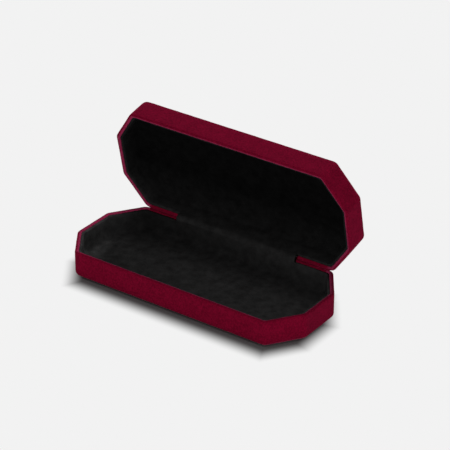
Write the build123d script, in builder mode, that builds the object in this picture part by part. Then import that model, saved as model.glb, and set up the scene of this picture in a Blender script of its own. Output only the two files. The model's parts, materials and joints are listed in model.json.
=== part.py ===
"""Velvet-covered clamshell case with an octagonal outline, standing open on its sprung hinge.

All sizes are in millimetres. The base rests on Z = 0 with its bottom centred on the origin.
X runs along the length, -Y is the front and +Y the hinge side. The lid is drawn standing open.
"""
from build123d import *
from math import cos, radians, sin
import os

# Outline of both halves
LENGTH = 165.0
WIDTH = 70.5
CUT_X = 14.5  # the cut corners are longer across the case than along it
CUT_Y = 21.0
HALF_HEIGHT = 16.5
CORNER_RADIUS = 4.8
EDGE_RADIUS = 3.2

# Layers of a wall, counted inwards from the outside
VELVET = 0.7
STEEL = 0.4
STEEL_FACE = VELVET + STEEL
RIM_WALL = 2.3  # velvet, steel and the velvet turned in over the rim
TURN_IN_DEPTH = 4.0
RIM_ROUND = 1.0
LINING = 0.5
LINING_FACE = 3.3
LINING_BACK = LINING_FACE - LINING
INNER_DEPTH = 13.0
LINING_CORNER = 4.6
LINING_COVE = 4.4
REVEAL = 1.2  # velvet left showing above the lining
FLOOR_PAD_INSET = 8.0

# Hinge
OPEN_ANGLE = 78.0
RIM_GAP = 0.3  # between the two rims when the case is shut
KNUCKLE_INSIDE = 0.55
LEAF = 0.5
KNUCKLE_RADIUS = KNUCKLE_INSIDE + LEAF
AXIS_Y = WIDTH / 2 - STEEL_FACE + KNUCKLE_INSIDE
AXIS_Z = HALF_HEIGHT + RIM_GAP / 2
KNUCKLE_COUNT = 5
KNUCKLE_PITCH = 10.4
KNUCKLE_SPACE = 0.3
CURL_SLIT = 0.15
LEAF_LENGTH = 80.0
LEAF_DEPTH = 9.5
NOTCH_DEPTH = 1.4  # steel cut back clear of the other half's knuckles
PIN_RADIUS = 0.5
PIN_HEAD_RADIUS = 0.9
PIN_HEAD = 0.4
PIN_SPACE = 0.15

# Middle of the hinge side, where velvet and lining run on from one half to the other
SLOT_LENGTH = 86.0
SLOT_MARGIN = 1.2
SIDE_SPACE = 0.3
SPINE_LENGTH = 130.0
SPINE_DEPTH = 3.0
SPINE_STRAIGHT = 1.4
SPINE_BULGE = 2.0
SPINE_BEND = 0.5
BRIDGE_DEPTH = 4.0
WINDOW_LENGTH = 84.0
WINDOW_DEPTH = 10.5

# Rivets holding each hinge leaf to its shell
RIVET_X = (-22.0, -8.0, 8.0, 22.0)
RIVET_DROP = 6.0
RIVET_SHANK = 0.8
RIVET_HEAD = 1.3
RIVET_HEAD_HEIGHT = 0.4
RIVET_FLARE = 45.0
FIT = 0.03

# Wire bow springs that snap the lid open and shut
WIRE_RADIUS = 0.3
SPRING_X = 31.0
SPRING_BOW = 5.0
SPRING_REACH = 6.0
SPRING_SPACE = 0.03
SPRING_STEPS = 12
EYE_RADIUS = 0.42
EYE_DEPTH = 0.35
SPRING_LINE = KNUCKLE_RADIUS + SPRING_SPACE + WIRE_RADIUS

# One frame for each half: X along the case, Y to the hinge side, Z from the flat face to the rim
BASE = Plane.XY
SHUT_LID = Plane(origin=(0, 0, 2 * AXIS_Z), x_dir=(-1, 0, 0), z_dir=(0, 0, -1))
SWING = Pos(0, AXIS_Y, AXIS_Z) * Rot(-OPEN_ANGLE, 0, 0) * Pos(0, -AXIS_Y, -AXIS_Z)
LID = Plane(SWING * SHUT_LID.location)


def outline(inset, corner):
    """The eight-sided outline, moved in by inset, with its corners rounded."""
    x, y = LENGTH / 2, WIDTH / 2
    right = [(x - CUT_X, -y), (x, -y + CUT_Y), (x, y - CUT_Y), (x - CUT_X, y)]
    left = [(-px, py) for px, py in reversed(right)]
    with BuildSketch() as shape:
        with BuildLine():
            Polyline(*right, *left, close=True)
        make_face()
        if inset:
            offset(amount=-inset, kind=Kind.INTERSECTION, mode=Mode.REPLACE)
        fillet(vertices(), corner)
    return shape.sketch


def block(frame, inset, corner, bottom, top, edge=0.0, mode=Mode.ADD):
    """Add or remove the outline between two heights of a half, its flat-side edge rounded by edge."""
    with BuildPart() as solid:
        with BuildSketch():
            add(outline(inset, corner))
        extrude(amount=top - bottom)
        if edge:
            fillet(faces().sort_by(Axis.Z)[0].edges(), edge)
    add(frame.offset(bottom).location * solid.part, mode=mode)


def rim_face(frame, height):
    """The flat face that lies at this height of a half's frame."""
    level = frame.offset(height)
    flats = faces().filter_by(Axis(frame.origin, frame.z_dir))
    return flats.filter_by(lambda f: abs(level.to_local_coords(f.center()).Z) < FIT)[0]


def section(frame, x):
    """Plane across the hinge at x, with its X pointing out of the case and its Y past the rim."""
    origin = frame.from_local_coords(Vector(x, AXIS_Y, AXIS_Z))
    return Plane(origin=origin, x_dir=frame.y_dir, z_dir=frame.x_dir)


def leaf_face(frame, depth=0.0):
    """Plane on the inner face of a hinge leaf, its Y pointing away from the rim, its Z outwards."""
    origin = frame.from_local_coords(Vector(0, AXIS_Y - KNUCKLE_RADIUS + depth, AXIS_Z))
    return Plane(origin=origin, x_dir=frame.x_dir, z_dir=frame.y_dir)


def rear_cut(frame, length, outer, inner, drop):
    """Cut the hinge-side wall between two insets, from drop below the hinge line upwards."""
    with BuildSketch(frame.offset(AXIS_Z - drop)) as cut:
        with Locations((0, WIDTH / 2 - (outer + inner) / 2)):
            Rectangle(length, inner - outer)
    extrude(cut.sketch, amount=drop, mode=Mode.SUBTRACT)


def steel_slot(frame, bottom, top, gap):
    """Cut the narrow slot that the steel wall fills, leaving a gap in it on the hinge side."""
    with BuildSketch(frame.offset(bottom)) as slot:
        add(outline(VELVET, CORNER_RADIUS - VELVET))
        offset(amount=-STEEL, mode=Mode.SUBTRACT)
        if gap:
            with Locations((0, WIDTH / 2)):
                Rectangle(gap, 2 * RIM_WALL, mode=Mode.SUBTRACT)
    extrude(slot.sketch, amount=top - bottom, mode=Mode.SUBTRACT)


def cover(frame):
    """Velvet skin: over the outside, round the rim and turned in, with a slot on the hinge side.

    The outer layer stops below the hinge line there, where the spine's velvet carries on.
    """
    turn_in = HALF_HEIGHT - TURN_IN_DEPTH
    notch = AXIS_Z - NOTCH_DEPTH
    block(frame, 0, CORNER_RADIUS, 0, HALF_HEIGHT, EDGE_RADIUS)
    block(frame, RIM_WALL, CORNER_RADIUS - RIM_WALL, turn_in, HALF_HEIGHT, mode=Mode.SUBTRACT)
    rear_cut(frame, SLOT_LENGTH, -RIM_WALL, RIM_WALL, SPINE_DEPTH)
    slot_ends = edges().filter_by(Axis(frame.origin, frame.z_dir))
    fillet(slot_ends.filter_by(lambda e: abs(abs(e.center().X) - SLOT_LENGTH / 2) < FIT), RIM_ROUND)
    fillet(rim_face(frame, HALF_HEIGHT).edges(), RIM_ROUND)
    rear_cut(frame, SPINE_LENGTH, -RIM_WALL, VELVET, SPINE_DEPTH)
    block(frame, VELVET, CORNER_RADIUS - VELVET, VELVET, turn_in, EDGE_RADIUS - VELVET, Mode.SUBTRACT)
    rear_cut(frame, SLOT_LENGTH, VELVET, RIM_WALL, AXIS_Z - turn_in)
    steel_slot(frame, turn_in, notch, 0)
    steel_slot(frame, notch, HALF_HEIGHT - VELVET, SLOT_LENGTH + 2 * SLOT_MARGIN)


def shell(frame):
    """Drawn steel tray, notched for the knuckles and countersunk for the rivets."""
    inside = EDGE_RADIUS - STEEL_FACE
    block(frame, VELVET, CORNER_RADIUS - VELVET, VELVET, HALF_HEIGHT - VELVET, EDGE_RADIUS - VELVET)
    block(frame, STEEL_FACE, CORNER_RADIUS - STEEL_FACE, STEEL_FACE, HALF_HEIGHT, inside, Mode.SUBTRACT)
    rear_cut(frame, SLOT_LENGTH + 2 * SLOT_MARGIN, 0, STEEL_FACE, NOTCH_DEPTH)
    with BuildSketch(leaf_face(frame, LEAF)) as holes:
        with Locations([(x, RIVET_DROP) for x in RIVET_X]):
            Circle(RIVET_SHANK + FIT)
    extrude(holes.sketch, amount=STEEL, taper=-RIVET_FLARE, mode=Mode.SUBTRACT)


def wall_pad(frame):
    """Board and wadding round the walls, with a window for the hinge leaf and springs."""
    turn_in = HALF_HEIGHT - TURN_IN_DEPTH
    floor = HALF_HEIGHT - INNER_DEPTH - LINING
    top = HALF_HEIGHT - REVEAL - LINING
    cove = LINING_COVE + LINING
    block(frame, STEEL_FACE, CORNER_RADIUS - STEEL_FACE, STEEL_FACE, turn_in, EDGE_RADIUS - STEEL_FACE)
    block(frame, RIM_WALL, CORNER_RADIUS - RIM_WALL, turn_in, top)
    block(frame, LINING_BACK, LINING_CORNER + LINING, floor, top, cove, Mode.SUBTRACT)
    block(frame, FLOOR_PAD_INSET, LINING_CORNER, STEEL_FACE, floor, mode=Mode.SUBTRACT)
    rear_cut(frame, WINDOW_LENGTH, STEEL_FACE, LINING_BACK, WINDOW_DEPTH)


def floor_pad(frame):
    """Foam sheet under the lining of the flat face."""
    block(frame, FLOOR_PAD_INSET + FIT, LINING_CORNER, STEEL_FACE, HALF_HEIGHT - INNER_DEPTH - LINING)


def lining(frame):
    """Soft black tray with a coved floor, its top edge turned out over the wall pad."""
    floor = HALF_HEIGHT - INNER_DEPTH
    top = HALF_HEIGHT - REVEAL
    block(frame, LINING_BACK, LINING_CORNER + LINING, floor - LINING, top, LINING_COVE + LINING)
    block(frame, RIM_WALL, CORNER_RADIUS - RIM_WALL, top - LINING, top)
    block(frame, LINING_FACE, LINING_CORNER, floor, top, LINING_COVE, Mode.SUBTRACT)
    fillet(rim_face(frame, top).inner_wires()[0].edges(), LINING - FIT)
    rear_cut(frame, SLOT_LENGTH, 0, LINING_FACE + FIT, BRIDGE_DEPTH)


def leaf(frame, knuckles):
    """Hinge leaf: a plate inside the steel wall, its knuckles rolled outwards over the pin."""
    with BuildSketch(section(frame, -LEAF_LENGTH / 2)) as plate:
        with Locations((-KNUCKLE_RADIUS, -LEAF_DEPTH)):
            Rectangle(LEAF, LEAF_DEPTH - NOTCH_DEPTH, align=(Align.MIN, Align.MIN))
    extrude(plate.sketch, amount=LEAF_LENGTH)
    for index in knuckles:
        start = (index - KNUCKLE_COUNT / 2) * KNUCKLE_PITCH + KNUCKLE_SPACE / 2
        with BuildSketch(section(frame, start)) as curl:
            Circle(KNUCKLE_RADIUS)
            Circle(KNUCKLE_INSIDE, mode=Mode.SUBTRACT)
            with Locations((CURL_SLIT - KNUCKLE_INSIDE, 0)):
                Rectangle(KNUCKLE_RADIUS, KNUCKLE_RADIUS, align=Align.MAX, mode=Mode.SUBTRACT)
            with Locations((-KNUCKLE_RADIUS, 0)):
                Rectangle(LEAF, NOTCH_DEPTH, align=(Align.MIN, Align.MAX))
        extrude(curl.sketch, amount=KNUCKLE_PITCH - KNUCKLE_SPACE)
    with BuildSketch(leaf_face(frame)) as holes:
        with Locations([(x, RIVET_DROP) for x in RIVET_X]):
            Circle(RIVET_SHANK + FIT)
        with Locations((-SPRING_X, SPRING_REACH), (SPRING_X, SPRING_REACH)):
            Circle(EYE_RADIUS)
    extrude(holes.sketch, amount=LEAF, mode=Mode.SUBTRACT)


def rivets(frame):
    """Four rivets: a low head on the leaf, a shank through it and a flare in the steel."""
    for depth, radius, length, taper in (
        (0, RIVET_HEAD, -RIVET_HEAD_HEIGHT, 0),
        (0, RIVET_SHANK, LEAF, 0),
        (LEAF, RIVET_SHANK, STEEL, -RIVET_FLARE),
    ):
        with BuildSketch(leaf_face(frame, depth)) as discs:
            with Locations([(x, RIVET_DROP) for x in RIVET_X]):
                Circle(radius)
        extrude(discs.sketch, amount=length, taper=taper)


def spring_point(share, side):
    """Middle of a spring's wire: up one leaf, round the hinge line and along the other leaf."""
    sweep_angle = radians(OPEN_ANGLE)
    turn = SPRING_LINE * sweep_angle
    along = share * (2 * SPRING_REACH + turn)
    if along < SPRING_REACH:
        out, up = -SPRING_LINE, along - SPRING_REACH
    else:
        angle = min(along - SPRING_REACH, turn) / SPRING_LINE
        past = max(along - SPRING_REACH - turn, 0)
        out = -SPRING_LINE * cos(angle) + past * sin(angle)
        up = SPRING_LINE * sin(angle) + past * cos(angle)
    x = SPRING_X + SPRING_BOW * (1 - (2 * share - 1) ** 2)
    return (side * x, AXIS_Y + out, AXIS_Z + up)


def bow_spring(side):
    """C-shaped wire bow with both ends turned out into an eye of a leaf."""
    points = [spring_point(step / SPRING_STEPS, side) for step in range(SPRING_STEPS + 1)]
    with BuildLine() as path:
        bow = Spline(points)
    with BuildSketch(Plane(origin=points[0], z_dir=bow % 0)) as wire:
        Circle(WIRE_RADIUS)
    sweep(wire.sketch, path=path.line)
    for point, frame in ((points[0], BASE), (points[-1], LID)):
        with Locations(point):
            Sphere(WIRE_RADIUS)
        with BuildSketch(Plane(origin=point, z_dir=frame.y_dir)) as hook:
            Circle(WIRE_RADIUS)
        extrude(hook.sketch, amount=SPRING_SPACE + WIRE_RADIUS + EYE_DEPTH)


# Base half
with BuildPart() as base_cover:
    cover(BASE)

with BuildPart() as base_shell:
    shell(BASE)

with BuildPart() as base_wall_pad:
    wall_pad(BASE)

with BuildPart() as base_floor_pad:
    floor_pad(BASE)

with BuildPart() as base_lining:
    lining(BASE)

with BuildPart() as base_leaf:
    leaf(BASE, range(0, KNUCKLE_COUNT, 2))

with BuildPart() as base_rivets:
    rivets(BASE)

# Lid half, drawn in its own frame
with BuildPart() as lid_cover:
    cover(LID)

with BuildPart() as lid_shell:
    shell(LID)

with BuildPart() as lid_wall_pad:
    wall_pad(LID)

with BuildPart() as lid_floor_pad:
    floor_pad(LID)

with BuildPart() as lid_lining:
    lining(LID)

with BuildPart() as lid_leaf:
    leaf(LID, range(1, KNUCKLE_COUNT, 2))

with BuildPart() as lid_rivets:
    rivets(LID)

# Hinge pin with a small head at each end of the knuckles
with BuildPart() as hinge_pin:
    reach = (KNUCKLE_COUNT * KNUCKLE_PITCH - KNUCKLE_SPACE) / 2 + PIN_SPACE
    with BuildSketch(section(BASE, -reach)):
        Circle(PIN_RADIUS)
    extrude(amount=2 * reach)
    for x, length in ((-reach, -PIN_HEAD), (reach, PIN_HEAD)):
        with BuildSketch(section(BASE, x)):
            Circle(PIN_HEAD_RADIUS)
        extrude(amount=length)

with BuildPart() as left_spring:
    bow_spring(-1)

with BuildPart() as right_spring:
    bow_spring(1)

# Lining carried across the hinge from one half to the other
with BuildPart() as lining_bridge:
    half = SLOT_LENGTH / 2 - SIDE_SPACE
    middle = WIDTH / 2 - LINING_FACE + LINING / 2 - AXIS_Y
    turn = radians(OPEN_ANGLE)
    bend = (middle * cos(turn), -middle * sin(turn))
    with BuildSketch(section(BASE, -half)):
        with BuildLine():
            Line((middle, -BRIDGE_DEPTH), (middle, 0))
            CenterArc((0, 0), -middle, 180, -OPEN_ANGLE)
            Line(bend, (bend[0] + BRIDGE_DEPTH * sin(turn), bend[1] + BRIDGE_DEPTH * cos(turn)))
        trace(line_width=LINING)
    extrude(amount=2 * half)

# Velvet carried across the outside of the hinge, pushed into a fold while the lid stands open
with BuildPart() as spine_cover:
    half = SPINE_LENGTH / 2 - SIDE_SPACE
    middle = WIDTH / 2 - VELVET / 2 - AXIS_Y + FIT
    near = [(middle, -SPINE_DEPTH), (middle, -SPINE_DEPTH + SPINE_STRAIGHT)]
    far = [Vector(x, -y).rotate(Axis.Z, -OPEN_ANGLE) for x, y in reversed(near)]
    fold = Vector(SPINE_BULGE, 0).rotate(Axis.Z, -OPEN_ANGLE / 2)
    with BuildSketch(section(BASE, -half)):
        with BuildLine():
            FilletPolyline(*near, fold, *far, radius=SPINE_BEND)
        trace(line_width=VELVET)
    extrude(amount=2 * half)

os.makedirs("parts", exist_ok=True)
for name, piece in (
    ("base_cover", base_cover),
    ("base_shell", base_shell),
    ("base_wall_pad", base_wall_pad),
    ("base_floor_pad", base_floor_pad),
    ("base_lining", base_lining),
    ("base_leaf", base_leaf),
    ("base_rivets", base_rivets),
    ("lid_cover", lid_cover),
    ("lid_shell", lid_shell),
    ("lid_wall_pad", lid_wall_pad),
    ("lid_floor_pad", lid_floor_pad),
    ("lid_lining", lid_lining),
    ("lid_leaf", lid_leaf),
    ("lid_rivets", lid_rivets),
    ("hinge_pin", hinge_pin),
    ("left_spring", left_spring),
    ("right_spring", right_spring),
    ("lining_bridge", lining_bridge),
    ("spine_cover", spine_cover),
):
    piece.part.label = name
    export_step(piece.part, f"parts/{name}.step")
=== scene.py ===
"""Looks of the velvet-covered clamshell case: velvet skins, soft lining, steel hinge and stage."""
import json
import math

import bmesh
import bpy
import numpy as np
from bpy.props import FloatProperty, FloatVectorProperty, PointerProperty
from mathutils import Matrix, Vector, noise


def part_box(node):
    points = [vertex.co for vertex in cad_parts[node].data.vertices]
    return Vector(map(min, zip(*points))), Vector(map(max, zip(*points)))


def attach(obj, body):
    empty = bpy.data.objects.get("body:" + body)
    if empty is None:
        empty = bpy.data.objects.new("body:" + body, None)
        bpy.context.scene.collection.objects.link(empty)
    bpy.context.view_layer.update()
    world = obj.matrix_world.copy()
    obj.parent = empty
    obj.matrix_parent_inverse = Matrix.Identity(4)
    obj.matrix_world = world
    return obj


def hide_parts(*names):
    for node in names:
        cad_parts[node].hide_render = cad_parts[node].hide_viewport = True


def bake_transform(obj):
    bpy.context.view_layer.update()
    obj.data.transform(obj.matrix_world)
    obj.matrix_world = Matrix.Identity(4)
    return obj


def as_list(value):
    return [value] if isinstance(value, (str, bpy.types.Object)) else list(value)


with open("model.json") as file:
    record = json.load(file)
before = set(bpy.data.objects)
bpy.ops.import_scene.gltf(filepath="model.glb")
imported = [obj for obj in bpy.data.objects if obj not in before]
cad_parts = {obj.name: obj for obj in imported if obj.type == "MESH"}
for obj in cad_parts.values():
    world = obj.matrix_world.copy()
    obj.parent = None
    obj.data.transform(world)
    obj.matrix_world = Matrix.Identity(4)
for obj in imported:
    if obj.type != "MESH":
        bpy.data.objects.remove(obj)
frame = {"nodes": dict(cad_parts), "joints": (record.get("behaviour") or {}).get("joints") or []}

bl_info = {
    "name": "Velvet Clamshell Case",
    "version": (1, 0, 0),
    "blender": (4, 5, 0),
    "location": "View3D > Sidebar > Case",
    "description": "Dresses the packed clamshell case in velvet, lining and steel, and sets its stage",
    "category": "Object",
}

# Sizes in metres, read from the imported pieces: half the length, half the width, one half's height
HALF_LENGTH, HALF_WIDTH, HALF_HEIGHT = np.array(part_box("base_cover")[1])
LINING_LOW, LINING_HIGH = (np.array(corner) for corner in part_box("base_lining"))
PIN_LOW, PIN_HIGH = (np.array(corner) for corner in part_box("hinge_pin"))
HINGE_Y, HINGE_Z = (PIN_LOW[1:] + PIN_HIGH[1:]) / 2
RIM_WALL = HALF_LENGTH - LINING_HIGH[0]
LINING_TOP = LINING_HIGH[2]
OPEN_ANGLE = math.radians(frame["joints"][0]["range_deg"][1])

# Sizes in metres that no box of a piece tells
CUT_X = 0.0145  # corners cut off the outline, along the length and across it
CUT_Y = 0.021
CORNER_RADIUS = 0.0048
EDGE_RADIUS = 0.0032
RIM_ROUND = 0.001
TURN_IN_DEPTH = 0.004
VELVET = 0.0007
LINING = 0.0005
LINING_FACE = 0.0033
LINING_CORNER = 0.0046
LINING_COVE = 0.0044
LINING_LIP = 0.0004
SLOT_HALF = 0.043
TIP_ROUND = 0.0012  # the rims' ends beside the slot are rounded
SPINE_LAP = 0.0005  # the scene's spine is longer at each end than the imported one
SPINE_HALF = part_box("spine_cover")[1][0] + SPINE_LAP
SPINE_DEPTH = 0.003
SPINE_ROUND = 0.0019  # outside of the spine from the hinge line, clear of the knuckles
SPINE_EASE = 0.00025  # the spine's flat walls start to turn this far before its round
VALLEY_EDGE = 0.00074  # how far inside the wall the skins' velvet starts beside the spine
VALLEY_DROP = 0.00003

# Unevenness: heights and lengths of waves in metres, then the noise's own ratios
PILE_STAND = 0.00009
GLUE_HEIGHT = 0.00006
GLUE_WAVE = 0.006
SWELL_WAVE = 0.022
PUCKER_WAVE = 0.005
PUCKER_SHARE = 0.2  # of the swells' height
WAVE_ROUGHNESS = 0.8
WAVE_RATIO = 2.0

# Where the velvet's colour takes a painted highlight, in metres
HIGHLIGHT_INSET = 0.0009
HIGHLIGHT_RISE = 0.0006
HIGHLIGHT_DEPTH = 0.0025  # below the rim
HIGHLIGHT_REAR = 0.003  # no painted highlight this close to the hinge side, along the spine
LOW_HIGHLIGHT = 0.0008  # height of the painted highlight line along the flat face's edge

# Painted light and shade on the lining, 0 to 1 as its Nap mask, and the distances in metres over which it
# changes: light in the base, painted shade by the hinge there, dark in the lid, lighter by the hinge and
# up the lid's walls
BASE_PAINTED_LIGHT = 0.82
BASE_PAINTED_LIGHT_TILT = 0.18
BASE_HINGE_PAINTED_SHADE = 0.60
LID_PAINTED_LIGHT = 0.03
LID_WALL_PAINTED_LIGHT = 0.15
LID_HINGE_PAINTED_LIGHT = 0.14
HINGE_REACH = 0.03
WALL_START = 0.0045
WALL_RISE = 0.006

# Meshes, in metres: a step along a side, how close points are welded, and the sharpest corner
STEP = 0.0012
MERGE = 0.00002
SMALLEST_CORNER = 0.0001

# How many steps the meshes' arcs and runs have
CORNER_STEPS = 6
ROUND_STEPS = 6
WALL_STEPS = 8
TURN_IN_STEPS = 4
FACE_STEPS = 16
COVE_STEPS = 8
LINING_WALL_STEPS = 5
LIP_STEPS = 4
FLOOR_STEPS = 18
BRIDGE_STEPS = 8
BRIDGE_WALL_STEPS = 2
SPINE_STEPS = 16
SPINE_WALL_STEPS = 4
VALLEY_STEPS = 19

# Places of the two long sides in the outline's order
HINGE_SIDE = 3
FRONT_SIDE = 7

# Colours of the hidden pieces and of the lining's sheen
STEEL = (0.50, 0.50, 0.52)
BOARD = (0.36, 0.28, 0.20)
FOAM = (0.70, 0.68, 0.60)
SHEEN_GREY = (0.5, 0.5, 0.5, 1)

# Range that a noise texture mostly keeps to
NOISE_LOW = 0.36
NOISE_HIGH = 0.64

# Lights: name, place and size in metres, and watts
LIGHTS = (
    ("Key", (-0.32, 0.85, 0.97), 0.3, 16.5),
    ("Top", (0.0, -0.15, 1.3), 0.9, 4.5),
    ("Front", (0.1, -1.2, 0.10), 0.35, 11.5),
    ("Side", (1.2, 0.0, 0.10), 0.35, 8),
)
AMBIENT = 0.14  # strength of the backdrop's own light

# Rest of the stage, in metres but for the sensor
CASE_MIDDLE = (0, 0, 0.03)  # aim of the lights and, before its shift, of the camera
FLOOR_SIZE = 12
FLOOR_DROP = 0.0002
SHADOW_SHIFT = (0.0035, -0.0080, 0)  # the floor's painted shadow lies to the front right of the case
SHADOW_START = -0.0065  # full shade up to this far outside the shifted outline
SHADOW_END = 0.0070  # no shade from here on
CONTACT_START = 0.0022  # how far the fade has run at the case's own outline
SENSOR_WIDTH = 36  # millimetres
CLIP_START = 0.05
CLIP_END = 50


class VelvetSettings(bpy.types.PropertyGroup):
    """Colours of the velvet skins, one of them a painted highlight, and their pile."""

    base: FloatVectorProperty(
        name="Base", description="Colour of the pile seen straight on", subtype="COLOR", size=3,
        default=(0.122, 0.0017, 0.0132), min=0, max=1,
    )
    # Colour of a painted highlight along the rim's inner edge and along the flat face's low edge
    bend: FloatVectorProperty(
        name="PaintedHighlight", description="Colour of the pile where an edge opens it", subtype="COLOR", size=3,
        default=(0.215, 0.017, 0.054), min=0, max=1,
    )
    shade: FloatProperty(
        name="Shade", description="How much darker the pile is where it is brushed away", default=0.45,
        min=0, max=1, subtype="FACTOR",
    )
    sheen: FloatVectorProperty(
        name="Sheen", description="Colour of the pile's tips seen from the side", subtype="COLOR", size=3,
        default=(0.80, 0.10, 0.24), min=0, max=1,
    )
    pile: FloatProperty(
        name="Pile", description="Height of the pile's small unevenness", default=0.00010,
        min=0, max=0.001, subtype="DISTANCE", unit="LENGTH",
    )


class LiningSettings(bpy.types.PropertyGroup):
    """Colours of the black lining, with painted light and painted shade, and its nap."""

    # Painted light: the lining's colour where the Nap mask is 1, lightest in the base
    base: FloatVectorProperty(
        name="Base", description="Colour of the lining with its nap raised", subtype="COLOR", size=3,
        default=(0.0500, 0.0492, 0.0492), min=0, max=1,
    )
    # Painted shade: the lining's colour where the Nap mask is 0, darkest on the lid's floor
    flat: FloatVectorProperty(
        name="Flat", description="Colour of the lining with its nap laid flat", subtype="COLOR", size=3,
        default=(0.0014, 0.0014, 0.0014), min=0, max=1,
    )
    shade: FloatProperty(
        name="Shade", description="How much darker the nap is where it is brushed away", default=0.50,
        min=0, max=1, subtype="FACTOR",
    )
    nap: FloatProperty(
        name="Nap", description="Height of the nap's small unevenness", default=0.00008,
        min=0, max=0.001, subtype="DISTANCE", unit="LENGTH",
    )
    sag: FloatProperty(
        name="Sag", description="Height of the soft hollows and swells of the lining", default=0.00025,
        min=0, max=0.002, subtype="DISTANCE", unit="LENGTH",
    )


class StageSettings(bpy.types.PropertyGroup):
    """Camera, floor and lights."""

    azimuth: FloatProperty(
        name="Azimuth", description="Camera's angle round the case", default=math.radians(35.46),
        subtype="ANGLE", unit="ROTATION",
    )
    elevation: FloatProperty(
        name="Elevation", description="Camera's angle above the floor", default=math.radians(28.95),
        subtype="ANGLE", unit="ROTATION",
    )
    roll: FloatProperty(
        name="Roll", description="Camera's turn about its own line of sight", default=math.radians(0.19),
        subtype="ANGLE", unit="ROTATION",
    )
    distance: FloatProperty(
        name="Distance", description="Camera's distance from the case", default=1.2986,
        subtype="DISTANCE", unit="LENGTH",
    )
    shift: FloatVectorProperty(
        name="Shift", description="Camera's shift to the right and up", size=2,
        default=(0.01284, 0.00965), subtype="TRANSLATION", unit="LENGTH",
    )
    lens: FloatProperty(
        name="Lens", description="Focal length in millimetres", default=178.28, min=10, unit="CAMERA",
    )
    white: FloatProperty(
        name="White", description="Brightness of the backdrop", default=0.888, min=0, max=1,
        subtype="FACTOR",
    )
    # The floor's own colour shows only close to the case, as a painted shadow
    floor: FloatProperty(
        name="Floor", description="Brightness of the floor's own colour", default=0.12, min=0, max=1,
        subtype="FACTOR",
    )


def noise_node(tree, place, scale, detail, roughness):
    """Noise texture read at a place in metres; its output runs from 0 to 1."""
    node = tree.nodes.new("ShaderNodeTexNoise")
    node.inputs["Detail"].default_value = detail
    node.inputs["Roughness"].default_value = roughness
    tree.links.new(place, node.inputs["Vector"])
    tree.links.new(scale, node.inputs["Scale"])
    return node


def pile_group():
    """Node group of a short pile: patches brushed different ways, and its grain as a normal."""
    tree = bpy.data.node_groups.new("Pile", "ShaderNodeTree")
    for name in ("Patches", "Grain", "Share", "Height"):
        tree.interface.new_socket(name, in_out="INPUT", socket_type="NodeSocketFloat")
    tree.interface.new_socket("Shade", in_out="OUTPUT", socket_type="NodeSocketFloat")
    tree.interface.new_socket("Normal", in_out="OUTPUT", socket_type="NodeSocketVector")
    ins = tree.nodes.new("NodeGroupInput")
    outs = tree.nodes.new("NodeGroupOutput")
    place = tree.nodes.new("ShaderNodeTexCoord").outputs["Object"]
    patches = noise_node(tree, place, ins.outputs["Patches"], detail=4, roughness=0.6)
    grain = noise_node(tree, place, ins.outputs["Grain"], detail=2, roughness=0.65)
    mixed = tree.nodes.new("ShaderNodeMix")
    tree.links.new(ins.outputs["Share"], mixed.inputs["Factor"])
    tree.links.new(patches.outputs["Fac"], mixed.inputs["A"])
    tree.links.new(grain.outputs["Fac"], mixed.inputs["B"])
    shade = tree.nodes.new("ShaderNodeMapRange")
    shade.inputs["From Min"].default_value = NOISE_LOW
    shade.inputs["From Max"].default_value = NOISE_HIGH
    tree.links.new(mixed.outputs["Result"], shade.inputs["Value"])
    tree.links.new(shade.outputs["Result"], outs.inputs["Shade"])
    bump = tree.nodes.new("ShaderNodeBump")
    tree.links.new(ins.outputs["Height"], bump.inputs["Distance"])
    tree.links.new(grain.outputs["Fac"], bump.inputs["Height"])
    tree.links.new(bump.outputs["Normal"], outs.inputs["Normal"])
    return tree


def colour_mix(tree, factor, first, second, blend="MIX"):
    """Colour mixed from two sockets or plain colours, by a socket or a number."""
    # The colour sockets share their names with other types' sockets, so they go by their numbers
    node = tree.nodes.new("ShaderNodeMix")
    node.data_type = "RGBA"
    node.blend_type = blend
    if isinstance(factor, float):
        node.inputs[0].default_value = factor
    else:
        tree.links.new(factor, node.inputs[0])
    for socket, colour in ((node.inputs[6], first), (node.inputs[7], second)):
        if isinstance(colour, bpy.types.NodeSocket):
            tree.links.new(colour, socket)
        else:
            socket.default_value = (*colour, 1)
    return node.outputs[2]


def surface(name, colour, roughness, shade, patches, grain, share, height, mask_zero_colour=None, **values):
    """New material whose colour varies by the pile group, and whose grain turns the normal.

    The colour given after height is used where the cloth's Nap mask is 0, and values go to the
    shader's own sockets. The Nap mask carries painted light: the velvet's painted highlight, and
    the lining's painted light and shade. The plain Base Color is kept under the link, for views
    that don't follow the nodes.
    """
    material = bpy.data.materials.new(name)
    material.use_nodes = True
    tree = material.node_tree
    shader = tree.nodes["Principled BSDF"]
    shader.inputs["Base Color"].default_value = (*colour, 1)
    shader.inputs["Roughness"].default_value = roughness
    for socket, value in values.items():
        shader.inputs[socket.replace("_", " ")].default_value = value
    pile = tree.nodes.new("ShaderNodeGroup")
    pile.node_tree = bpy.data.node_groups.get("Pile") or pile_group()
    for socket, value in (("Patches", patches), ("Grain", grain), ("Share", share), ("Height", height)):
        pile.inputs[socket].default_value = value
    # Painted light: the Nap mask mixes from the colour for mask 0 to the first colour at mask 1
    if mask_zero_colour:
        nap = tree.nodes.new("ShaderNodeAttribute")
        nap.attribute_name = "Nap"
        colour = colour_mix(tree, nap.outputs["Fac"], mask_zero_colour, colour)
    strength = colour_mix(tree, pile.outputs["Shade"], (1 - shade,) * 3, (1, 1, 1))
    tree.links.new(colour_mix(tree, 1.0, colour, strength, "MULTIPLY"), shader.inputs["Base Color"])
    tree.links.new(pile.outputs["Normal"], shader.inputs["Normal"])
    return material


def dress(material, *nodes):
    """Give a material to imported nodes."""
    for name in nodes:
        piece = frame["nodes"][name]
        piece.data.materials.clear()
        piece.data.materials.append(material)


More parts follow.
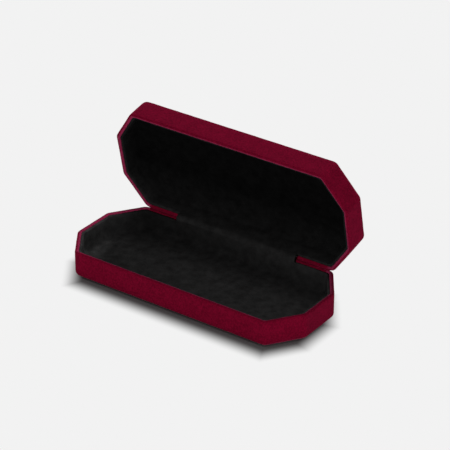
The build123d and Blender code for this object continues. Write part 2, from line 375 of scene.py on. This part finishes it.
def outline(inset):
    """The eight corners of the outline moved in, anticlockwise from the front right."""
    x, y = HALF_LENGTH, HALF_WIDTH
    right = [(x - CUT_X, -y), (x, CUT_Y - y), (x, y - CUT_Y), (x - CUT_X, y)]
    points = np.array(right + [(-px, py) for px, py in reversed(right)])
    along = np.roll(points, -1, axis=0) - points
    along /= np.linalg.norm(along, axis=1)[:, None]
    inward = np.stack([-along[:, 1], along[:, 0]], axis=1)
    before, after = np.roll(inward, 1, axis=0), inward
    share = inset / (1 + (before * after).sum(axis=1))
    return points + share[:, None] * (before + after), along


def ring(inset, corner, counts, stops):
    """Points round the outline moved in, its corners rounded; every ring has as many."""
    points, along = outline(inset)
    corner = max(corner, SMALLEST_CORNER)
    found = []
    for index in range(len(points)):
        before, after = along[index - 1], along[index]
        turn = math.acos(float(np.clip(before @ after, -1, 1)))
        run = corner * math.tan(turn / 2)
        arc_start, arc_end = points[index] - before * run, points[index] + after * run
        centre = arc_start + corner * np.array((-before[1], before[0]))
        for step in range(CORNER_STEPS):
            angle = turn * step / CORNER_STEPS
            spoke = arc_start - centre
            found.append(centre + np.array((
                spoke[0] * math.cos(angle) - spoke[1] * math.sin(angle),
                spoke[0] * math.sin(angle) + spoke[1] * math.cos(angle),
            )))
        following = (index + 1) % len(points)
        next_turn = math.acos(float(np.clip(after @ along[following], -1, 1)))
        next_start = points[following] - after * corner * math.tan(next_turn / 2)
        marks = [arc_end, *side_stops(index, arc_end, stops), next_start]
        for (low, high), count in zip(zip(marks, marks[1:]), counts[index]):
            found += [low + (high - low) * step / count for step in range(count)]
    return np.array(found)


def side_stops(index, start, stops):
    """Points at the stops along X, where this side of the outline is one of the two long ones."""
    order = {HINGE_SIDE: stops, FRONT_SIDE: stops[::-1]}.get(index, ())
    return [np.array((x, start[1])) for x in order]


def side_counts(stops):
    """How many steps each side of the outline takes, with the long sides split at the stops."""
    points, along = outline(0)
    counts = []
    for index, point in enumerate(points):
        marks = [point, *side_stops(index, point, stops), points[(index + 1) % len(points)]]
        runs = [float(np.linalg.norm(high - low)) for low, high in zip(marks, marks[1:])]
        counts.append([max(2, round(run / STEP)) for run in runs])
    return counts


def tray(profile, stops):
    """Rings of a tray: one for each (inset, height, corner radius) of the profile."""
    counts = side_counts(stops)
    rings = []
    for inset, height, corner in profile:
        flat = ring(inset, corner, counts, stops)
        rings.append(np.column_stack([flat, np.full(len(flat), height)]))
    return rings


def closing_rings(last, count):
    """Rings that carry a flat face on from a ring to a line along its middle."""
    reach = last[:, 0].max() - last[:, 1].max()
    middle = last.copy()
    middle[:, 0] = last[:, 0].clip(-reach, reach)
    middle[:, 1] = 0
    return [last + (middle - last) * step / count for step in range(1, count + 1)]


def to_lid(points):
    """Points of the base's half moved to the lid's half, which stands open on its hinge."""
    out, up = points[..., 1] - HINGE_Y, HINGE_Z - points[..., 2]
    c, s = math.cos(OPEN_ANGLE), math.sin(OPEN_ANGLE)
    return np.stack([-points[..., 0], HINGE_Y + c * out + s * up, HINGE_Z - s * out + c * up], axis=-1)


def half_place(point):
    """A point's place in its own half, as if that half were the base."""
    if point.z < HINGE_Z:
        return tuple(point)
    out, up = point.y - HINGE_Y, point.z - HINGE_Z
    c, s = math.cos(OPEN_ANGLE), math.sin(OPEN_ANGLE)
    return -point.x, HINGE_Y + c * out - s * up, HINGE_Z - s * out - c * up


def inset_at(x, y):
    """How far inside the outline a place is."""
    x, y = abs(x), abs(y)
    slant = (CUT_Y * (HALF_LENGTH - x) + CUT_X * (HALF_WIDTH - CUT_Y - y)) / math.hypot(CUT_X, CUT_Y)
    return min(HALF_LENGTH - x, HALF_WIDTH - y, slant)


class Cloth:
    """Points and faces of a sheet that is put together from lattices."""

    def __init__(self):
        self.points = []
        self.faces = []

    def lattice(self, rows, keep=None, wrap=True):
        """Add a lattice of rows of points; keep(low row, column) says which cells stay."""
        first, width = len(self.points), len(rows[0])
        for row in rows:
            self.points += [tuple(point) for point in row]
        for low in range(len(rows) - 1):
            for column in range(width if wrap else width - 1):
                if keep is None or keep(low, column):
                    a = first + low * width + column
                    b = first + low * width + (column + 1) % width
                    self.faces.append((a, b, b + width, a + width))

    def piece(self, name, material, thickness, swell, painted_light):
        """Weld the lattices, move each point along its normal by swell, and give the sheet its thickness.

        The last argument gives each point's Nap mask, which carries painted light: the velvet's painted
        highlight and the lining's painted light and shade.
        """
        mesh = bpy.data.meshes.new(name)
        mesh.from_pydata(self.points, [], self.faces)
        work = bmesh.new()
        work.from_mesh(mesh)
        bmesh.ops.remove_doubles(work, verts=work.verts, dist=MERGE)
        bmesh.ops.dissolve_degenerate(work, edges=work.edges, dist=MERGE)
        bmesh.ops.delete(work, geom=[v for v in work.verts if not v.link_faces], context="VERTS")
        work.normal_update()
        moves = [(vertex, vertex.normal * swell(vertex.co)) for vertex in work.verts]
        for vertex, move in moves:
            vertex.co += move
        for face in work.faces:
            face.smooth = True
        nap = work.verts.layers.float.new("Nap")
        for vertex in work.verts:
            vertex[nap] = painted_light(vertex.co)
        work.to_mesh(mesh)
        work.free()
        piece = bpy.data.objects.new(name, mesh)
        bpy.context.scene.collection.objects.link(piece)
        solid = piece.modifiers.new("Thickness", "SOLIDIFY")
        solid.thickness = thickness
        solid.offset = -1
        bpy.context.view_layer.update()
        graph = bpy.context.evaluated_depsgraph_get()
        final = bpy.data.meshes.new_from_object(piece.evaluated_get(graph))
        piece.modifiers.clear()
        piece.data = final
        final.materials.clear()
        final.materials.append(material)
        return piece


def waves(point, size, depth):
    """Smooth noise at a point, with waves of a size in metres."""
    return noise.fractal(
        point / size, WAVE_ROUGHNESS, WAVE_RATIO, depth, noise_basis="PERLIN_ORIGINAL",
    )


def arc_profile(centre_inset, centre_height, radius, start, end, steps):
    """Profile points on an arc; angles run from straight outwards, 90 degrees being towards the rim."""
    angles = [math.radians(start + (end - start) * step / steps) for step in range(steps + 1)]
    return [
        (centre_inset - radius * math.cos(angle), centre_height + radius * math.sin(angle))
        for angle in angles
    ]


def line_profile(start, end, steps):
    """Profile points on a straight run, less its ends."""
    return [
        tuple(a + (b - a) * step / steps for a, b in zip(start, end))
        for step in range(1, steps)
    ]


class CASE_OT_velvet(bpy.types.Operator):
    """Cover both halves and the hinge side in velvet"""

    bl_idname = "case.velvet"
    bl_label = "Velvet"

    def execute(self, context):
        settings = context.scene.case_velvet
        # The velvet's colour runs from its plain colour to a painted highlight by the Nap mask
        material = surface(
            "Velvet", settings.bend, roughness=0.95, shade=settings.shade, patches=170, grain=1000,
            share=0.75, height=settings.pile, mask_zero_colour=settings.base, Base_Color=(*settings.base, 1),
            Specular_IOR_Level=0.0, Sheen_Weight=0.25, Sheen_Roughness=0.4,
            Sheen_Tint=(*settings.sheen, 1),
        )
        strip = self.spine(material)
        for body, place, beside in (("base", np.array, [strip]), ("lid", to_lid, [])):
            cloth = self.skin(place)
            skin = cloth.piece(f"{body}_velvet", material, VELVET - MERGE, self.swell, self.painted_highlight_mask)
            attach(skin, body)
            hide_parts(f"{body}_cover")
            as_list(beside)
        return {"FINISHED"}

    def swell(self, point):
        """The pile stands a little proud of the woven back, and the glue under it is uneven."""
        return PILE_STAND + GLUE_HEIGHT * waves(point, GLUE_WAVE, 3)

    def painted_highlight_mask(self, point):
        """How strong the painted highlight is: along the rim's inner edge, and less along the flat face's
        edge.
        """
        x, y, z = half_place(point)
        rear = y > HALF_WIDTH - HIGHLIGHT_REAR and abs(x) < SPINE_HALF
        plain = z < HALF_HEIGHT - HIGHLIGHT_DEPTH or rear
        inner = 0 if plain else (inset_at(x, y) - HIGHLIGHT_INSET) / HIGHLIGHT_RISE
        low = 0.5 - abs(z - LOW_HIGHLIGHT) / (2 * LOW_HIGHLIGHT)
        return min(max(inner, low, 0), 1)

    def skin(self, place):
        """Velvet over the flat face, up the walls, round the rim and down inside it."""
        cut = HINGE_Z - SPINE_DEPTH
        turn_in = HALF_HEIGHT - TURN_IN_DEPTH
        edge = arc_profile(EDGE_RADIUS, EDGE_RADIUS, EDGE_RADIUS, -90, 0, ROUND_STEPS)
        wall = line_profile(edge[-1], (0, cut), WALL_STEPS) + [(0, cut)]
        rim = HALF_HEIGHT - RIM_ROUND
        outer = arc_profile(RIM_ROUND, rim, RIM_ROUND, 0, 90, ROUND_STEPS)
        inner = arc_profile(RIM_WALL - RIM_ROUND, rim, RIM_ROUND, 90, 180, ROUND_STEPS)
        down = line_profile(inner[-1], (RIM_WALL, turn_in), TURN_IN_STEPS) + [(RIM_WALL, turn_in)]
        bare = len(edge) + len(wall) - 1
        kept = bare + next(i for i, (inset, height) in enumerate([wall[-1]] + outer) if inset > VELVET)
        profile = edge + wall + outer + inner + down
        right_stops = (SPINE_HALF, SLOT_HALF + TIP_ROUND, SLOT_HALF + TIP_ROUND / 6, SLOT_HALF)
        stops = right_stops + tuple(-stop for stop in reversed(right_stops))
        rings = tray([(inset, height, CORNER_RADIUS - inset) for inset, height in profile], stops)
        outer_face = HALF_WIDTH - VELVET
        for row in rings[len(edge) + len(wall):]:
            share = ((np.abs(row[:, 0]) - SLOT_HALF) / TIP_ROUND).clip(0, 1)
            narrow = np.sqrt(1 - (1 - share) ** 2)
            depth = (row[:, 1] > 0) * (outer_face - row[:, 1]).clip(0)
            row[:, 1] += depth * (1 - narrow)
        face = closing_rings(rings[0], FACE_STEPS)[::-1]
        columns = rings[0][:, 0] + np.roll(rings[0][:, 0], -1)
        side = rings[len(edge)][:, 1] > HALF_WIDTH - MERGE
        rear = side & np.roll(side, -1)
        offset = len(face)

        def keep(low, column):
            middle = abs(columns[column] / 2)
            if not rear[column] or low < offset + bare or middle > SPINE_HALF:
                return True
            return low >= offset + kept and middle > SLOT_HALF

        cloth = Cloth()
        cloth.lattice([place(row) for row in face + rings], keep)
        return cloth

    def spine(self, material):
        """Strip of velvet over the outside of the hinge, bulging where it passes the knuckles."""
        middle = HALF_WIDTH + MERGE - HINGE_Y
        first = -math.acos(middle / SPINE_ROUND)
        corner = Vector((middle, SPINE_ROUND * math.sin(first)))
        leave = corner - Vector((0, SPINE_EASE))
        angles = np.linspace(first, -OPEN_ANGLE - first, SPINE_STEPS + 1)[1:-1]
        bulge = [SPINE_ROUND * Vector((math.cos(angle), math.sin(angle))) for angle in angles]
        wall = Vector((middle, -SPINE_DEPTH))
        near = [wall.lerp(leave, step / SPINE_WALL_STEPS) for step in range(SPINE_WALL_STEPS + 1)]
        for t in (1 / 3, 2 / 3):
            near.append(leave * (1 - t) ** 2 + corner * 2 * t * (1 - t) + bulge[0] * t * t)
        turn = Matrix.Rotation(-OPEN_ANGLE, 2)
        far = [turn @ Vector((point.x, -point.y)) for point in reversed(near)]
        rim_edge = Vector((middle - VALLEY_EDGE, HALF_HEIGHT - HINGE_Z - VALLEY_DROP))
        over = turn @ Vector((rim_edge.x, -rim_edge.y))
        valley = [over, (rim_edge + over) / 2, rim_edge]
        tip = SLOT_HALF + TIP_ROUND / 2
        cloth = Cloth()
        for section, start, end, steps in (
            (near + bulge + far, SPINE_HALF, -SPINE_HALF, round(2 * SPINE_HALF / STEP)),
            (valley, SPINE_HALF, tip, VALLEY_STEPS),
            (valley, -tip, -SPINE_HALF, VALLEY_STEPS),
        ):
            across = np.linspace(start, end, steps + 1)
            cloth.lattice(
                [[(x, HINGE_Y + point.x, HINGE_Z + point.y) for x in across] for point in section],
                wrap=False,
            )
        strip = cloth.piece("spine_velvet", material, VELVET - MERGE, self.swell, lambda point: 0)
        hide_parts("spine_cover")
        ends = (near[SPINE_WALL_STEPS], far[-SPINE_WALL_STEPS - 1])
        start, end = ((0, HINGE_Y + point.x, HINGE_Z + point.y) for point in ends)
        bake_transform(strip)
        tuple(start)
        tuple(end)
        return strip


class CASE_OT_lining(bpy.types.Operator):
    """Line both halves and the gap between them with one soft black sheet"""

    bl_idname = "case.lining"
    bl_label = "Lining"

    def execute(self, context):
        settings = context.scene.case_lining
        # The lining's colour runs from painted shade to painted light by the Nap mask
        material = surface(
            "Black lining", settings.base, roughness=0.9, shade=settings.shade, patches=190, grain=1300,
            share=0.30, height=settings.nap, mask_zero_colour=settings.flat, Specular_IOR_Level=0.0,
            Sheen_Weight=0.01, Sheen_Roughness=0.5, Sheen_Tint=SHEEN_GREY,
        )
        self.sag = settings.sag
        cloth = Cloth()
        floor = LINING_LOW[2] + LINING
        split = LINING_TOP - LINING_LIP
        cove = arc_profile(
            LINING_FACE + LINING_COVE, floor + LINING_COVE, LINING_COVE, -90, 0, COVE_STEPS,
        )
        low_wall = line_profile(cove[-1], (LINING_FACE, split), LINING_WALL_STEPS)
        low_wall.append((LINING_FACE, split))
        edge = arc_profile(LINING_FACE - LINING_LIP, split, -LINING_LIP, 0, -90, LIP_STEPS)[1:]
        profile = cove + low_wall + edge + [(RIM_WALL + MERGE, LINING_TOP)]
        stops = (SLOT_HALF, -SLOT_HALF)
        rings = tray(
            [(inset, height, LINING_CORNER + LINING_FACE - inset) for inset, height in profile], stops
        )
        middle = closing_rings(rings[0], FLOOR_STEPS)[::-1]
        level = len(cove) + len(low_wall) - 1
        wall_line = HALF_WIDTH - LINING_FACE - MERGE
        row = rings[level]
        rear = (row[:, 1] > wall_line) & (np.abs(row[:, 0]) < SLOT_HALF + MERGE)
        slot = rear & np.roll(rear, -1)
        first = len(middle) + level

        def keep(low, column):
            return low < first or not slot[column]

        for place in (np.array, to_lid):
            cloth.lattice([place(ring_row) for ring_row in middle + rings], keep)
        cloth.lattice(self.bridge(row[rear]), wrap=False)
        sheet = cloth.piece("soft_lining", material, LINING - MERGE, self.swell, self.painted_light)
        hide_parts("base_lining", "lid_lining", "lining_bridge")
        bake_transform(sheet)
        return {"FINISHED"}

    def painted_light(self, point):
        """Painted light, 0 to 1: most in the base's right half, and least on the lid's floor; painted
        shade by the hinge in the base, and painted light by it in the lid and up the lid's walls.
        """
        near = max(0, 1 - math.hypot(point.y - HINGE_Y, point.z - HINGE_Z) / HINGE_REACH)
        if point.z < HINGE_Z:
            return BASE_PAINTED_LIGHT + BASE_PAINTED_LIGHT_TILT * point.x / HALF_LENGTH - BASE_HINGE_PAINTED_SHADE * near
        wall = min(max((half_place(point)[2] - WALL_START) / WALL_RISE, 0), 1)
        return LID_PAINTED_LIGHT + LID_WALL_PAINTED_LIGHT * wall + LID_HINGE_PAINTED_LIGHT * near

    def bridge(self, row):
        """Rows from the base's hinge-side wall over the hinge to the lid's."""
        radius = HINGE_Y - row[0, 1]
        depth = HINGE_Z - row[0, 2]
        rows = []
        for up in np.linspace(-depth, 0, BRIDGE_WALL_STEPS + 1)[:-1]:
            rows.append([(x, HINGE_Y - radius, HINGE_Z + up) for x in row[:, 0]])
        for angle in np.linspace(0, OPEN_ANGLE, BRIDGE_STEPS + 1):
            out, up = -radius * math.cos(angle), radius * math.sin(angle)
            rows.append([(x, HINGE_Y + out, HINGE_Z + up) for x in row[:, 0]])
        last = np.array(rows[-1])
        along = np.array((0, math.sin(OPEN_ANGLE), math.cos(OPEN_ANGLE)))
        for share in np.linspace(0, depth, BRIDGE_WALL_STEPS + 1)[1:]:
            rows.append(last + along * share)
        return rows

    def swell(self, point):
        """Soft swells of the wadding and small puckers of the cloth."""
        puckers = PUCKER_SHARE * self.sag * waves(point, PUCKER_WAVE, 2)
        return self.sag * waves(point, SWELL_WAVE, 2) + puckers


class CASE_OT_steel(bpy.types.Operator):
    """Dress the steel shells and the hinge parts, and put steel copies in place of the springs"""

    bl_idname = "case.steel"
    bl_label = "Steel"

    def execute(self, context):
        material = surface(
            "Steel", STEEL, roughness=0.38, shade=0.25, patches=60, grain=900, share=0.5,
            height=0.00001, Metallic=1.0,
        )
        dress(
            material, "base_shell", "lid_shell", "base_leaf", "lid_leaf", "base_rivets", "lid_rivets",
            "hinge_pin",
        )
        for side in ("left", "right"):
            spring = frame["nodes"][f"{side}_spring"]
            bow = bpy.data.objects.new(f"{side}_bow", spring.data.copy())
            context.scene.collection.objects.link(bow)
            bow.data.materials.clear()
            bow.data.materials.append(material)
            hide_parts(f"{side}_spring")
            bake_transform(bow)
        return {"FINISHED"}


class CASE_OT_pads(bpy.types.Operator):
    """Dress the board round the walls and the foam under the floors"""

    bl_idname = "case.pads"
    bl_label = "Pads"

    def execute(self, context):
        board = surface(
            "Board", BOARD, roughness=0.9, shade=0.3, patches=80, grain=1800, share=0.5, height=0.00005,
        )
        dress(board, "base_wall_pad", "lid_wall_pad")
        foam = surface(
            "Foam", FOAM, roughness=0.95, shade=0.2, patches=120, grain=3000, share=0.6, height=0.0001,
        )
        dress(foam, "base_floor_pad", "lid_floor_pad")
        return {"FINISHED"}


def area_light(name, place, size, power):
    """Soft square light at a place, turned towards the middle of the case."""
    data = bpy.data.lights.new(name, "AREA")
    data.size = size
    data.energy = power
    light = bpy.data.objects.new(name, data)
    light.location = place
    light.rotation_mode = "QUATERNION"
    light.rotation_quaternion = (Vector(CASE_MIDDLE) - Vector(place)).to_track_quat("-Z", "Y")
    bpy.context.scene.collection.objects.link(light)


def math_node(tree, operation, first, second):
    """Result of a math operation on two sockets or numbers."""
    node = tree.nodes.new("ShaderNodeMath")
    node.operation = operation
    for socket, value in zip(node.inputs, (first, second)):
        if isinstance(value, bpy.types.NodeSocket):
            tree.links.new(value, socket)
        else:
            socket.default_value = value
    return node.outputs["Value"]


def beyond(tree, place, shift):
    """How far a place on the floor is outside the case's outline, with the outline moved by shift."""
    moved = tree.nodes.new("ShaderNodeVectorMath")
    moved.operation = "SUBTRACT"
    moved.inputs[1].default_value = shift
    size = tree.nodes.new("ShaderNodeVectorMath")
    size.operation = "ABSOLUTE"
    split = tree.nodes.new("ShaderNodeSeparateXYZ")
    slant = tree.nodes.new("ShaderNodeVectorMath")
    slant.operation = "DOT_PRODUCT"
    across = Vector((CUT_Y, CUT_X, 0)).normalized()
    slant.inputs[1].default_value = across
    tree.links.new(place, moved.inputs[0])
    tree.links.new(moved.outputs["Vector"], size.inputs[0])
    tree.links.new(size.outputs["Vector"], split.inputs["Vector"])
    tree.links.new(size.outputs["Vector"], slant.inputs[0])
    reach = across.dot(Vector((HALF_LENGTH, HALF_WIDTH - CUT_Y, 0)))
    ends = math_node(tree, "SUBTRACT", split.outputs["X"], HALF_LENGTH)
    sides = math_node(tree, "SUBTRACT", split.outputs["Y"], HALF_WIDTH)
    corners = math_node(tree, "SUBTRACT", slant.outputs["Value"], reach)
    return math_node(tree, "MAXIMUM", math_node(tree, "MAXIMUM", ends, sides), corners)


class CASE_OT_stage(bpy.types.Operator):
    """Set the floor, the backdrop, the lights and the camera"""

    bl_idname = "case.stage"
    bl_label = "Stage"

    def execute(self, context):
        settings = context.scene.case_stage
        self.floor(settings)
        self.backdrop(context, settings)
        for light in LIGHTS:
            area_light(*light)
        self.camera(context, settings)
        context.scene.view_settings.view_transform = "Standard"
        return {"FINISHED"}

    def floor(self, settings):
        """Floor with a painted shadow: its own dark colour lies close to the case, most to the front
        right, and takes the lights' real shadows; away from the case the floor fades into the backdrop's
        white.
        """
        bpy.ops.mesh.primitive_plane_add(size=FLOOR_SIZE)
        floor = bpy.context.object
        floor.name = "Floor"
        floor.location = (0, 0, -FLOOR_DROP)
        material = bpy.data.materials.new("Floor")
        material.use_nodes = True
        tree = material.node_tree
        tree.nodes.clear()
        out = tree.nodes.new("ShaderNodeOutputMaterial")
        mix = tree.nodes.new("ShaderNodeMixShader")
        diffuse = tree.nodes.new("ShaderNodeBsdfDiffuse")
        glow = tree.nodes.new("ShaderNodeEmission")
        place = tree.nodes.new("ShaderNodeTexCoord").outputs["Object"]
        fade = tree.nodes.new("ShaderNodeMapRange")
        fade.interpolation_type = "SMOOTHSTEP"
        fade.inputs["From Min"].default_value = SHADOW_START
        fade.inputs["From Max"].default_value = SHADOW_END
        shadow = beyond(tree, place, SHADOW_SHIFT)
        contact = math_node(tree, "ADD", beyond(tree, place, (0, 0, 0)), CONTACT_START)
        tree.links.new(math_node(tree, "MINIMUM", shadow, contact), fade.inputs["Value"])
        diffuse.inputs["Color"].default_value = (settings.floor, settings.floor, settings.floor, 1)
        glow.inputs["Color"].default_value = (settings.white, settings.white, settings.white, 1)
        tree.links.new(fade.outputs["Result"], mix.inputs["Fac"])
        tree.links.new(diffuse.outputs[0], mix.inputs[1])
        tree.links.new(glow.outputs[0], mix.inputs[2])
        tree.links.new(mix.outputs[0], out.inputs["Surface"])
        floor.data.materials.append(material)

    def backdrop(self, context, settings):
        """Even backdrop for the camera and for mirrored rays, and a softer light from it for the rest."""
        world = bpy.data.worlds.new("Backdrop")
        world.use_nodes = True
        context.scene.world = world
        tree = world.node_tree
        tree.nodes.clear()
        out = tree.nodes.new("ShaderNodeOutputWorld")
        mix = tree.nodes.new("ShaderNodeMixShader")
        seen = tree.nodes.new("ShaderNodeBackground")
        light = tree.nodes.new("ShaderNodeBackground")
        path = tree.nodes.new("ShaderNodeLightPath")
        seen.inputs["Color"].default_value = (settings.white, settings.white, settings.white, 1)
        light.inputs["Color"].default_value = (1, 1, 1, 1)
        light.inputs["Strength"].default_value = AMBIENT
        mirrored = math_node(
            tree, "MAXIMUM", path.outputs["Is Glossy Ray"], path.outputs["Is Transmission Ray"],
        )
        shown = math_node(tree, "MAXIMUM", path.outputs["Is Camera Ray"], mirrored)
        tree.links.new(shown, mix.inputs["Fac"])
        tree.links.new(light.outputs[0], mix.inputs[1])
        tree.links.new(seen.outputs[0], mix.inputs[2])
        tree.links.new(mix.outputs[0], out.inputs["Surface"])

    def camera(self, context, settings):
        """Camera at the photo's place, from its angles, shift and roll."""
        a, e, r = settings.azimuth, settings.elevation, settings.roll
        back = Vector((math.sin(a) * math.cos(e), -math.cos(a) * math.cos(e), math.sin(e)))
        side = Vector((math.cos(a), math.sin(a), 0))
        rise = back.cross(side)
        right = side * math.cos(r) + rise * math.sin(r)
        up = rise * math.cos(r) - side * math.sin(r)
        data = bpy.data.cameras.new("Camera")
        data.lens = settings.lens
        data.sensor_width = SENSOR_WIDTH
        data.clip_start = CLIP_START
        data.clip_end = CLIP_END
        camera = bpy.data.objects.new("Camera", data)
        place = Vector(CASE_MIDDLE) + back * settings.distance
        place += side * settings.shift[0]
        place += rise * settings.shift[1]
        camera.matrix_world = Matrix.Translation(place) @ Matrix((right, up, back)).transposed().to_4x4()
        context.scene.collection.objects.link(camera)
        context.scene.camera = camera


class CASE_PT_sidebar(bpy.types.Panel):
    """Steps and settings of the case"""

    bl_label = "Case"
    bl_idname = "CASE_PT_sidebar"
    bl_space_type = "VIEW_3D"
    bl_region_type = "UI"
    bl_category = "Case"

    def draw(self, context):
        scene = context.scene
        for step in STEPS:
            self.layout.operator(step.bl_idname)
        for group in (scene.case_velvet, scene.case_lining, scene.case_stage):
            box = self.layout.box()
            for name in group.__annotations__:
                box.prop(group, name)


SETTINGS = {"case_velvet": VelvetSettings, "case_lining": LiningSettings, "case_stage": StageSettings}
STEPS = (CASE_OT_velvet, CASE_OT_lining, CASE_OT_steel, CASE_OT_pads, CASE_OT_stage)


def register():
    for name, group in SETTINGS.items():
        bpy.utils.register_class(group)
        setattr(bpy.types.Scene, name, PointerProperty(type=group))
    for step in STEPS:
        bpy.utils.register_class(step)
    bpy.utils.register_class(CASE_PT_sidebar)


def unregister():
    bpy.utils.unregister_class(CASE_PT_sidebar)
    for step in reversed(STEPS):
        bpy.utils.unregister_class(step)
    for name, group in SETTINGS.items():
        delattr(bpy.types.Scene, name)
        bpy.utils.unregister_class(group)


def main():
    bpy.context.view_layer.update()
    register()
    bpy.ops.case.velvet()
    bpy.ops.case.lining()
    bpy.ops.case.steel()
    bpy.ops.case.pads()
    bpy.ops.case.stage()


if __name__ == "__main__":
    main()
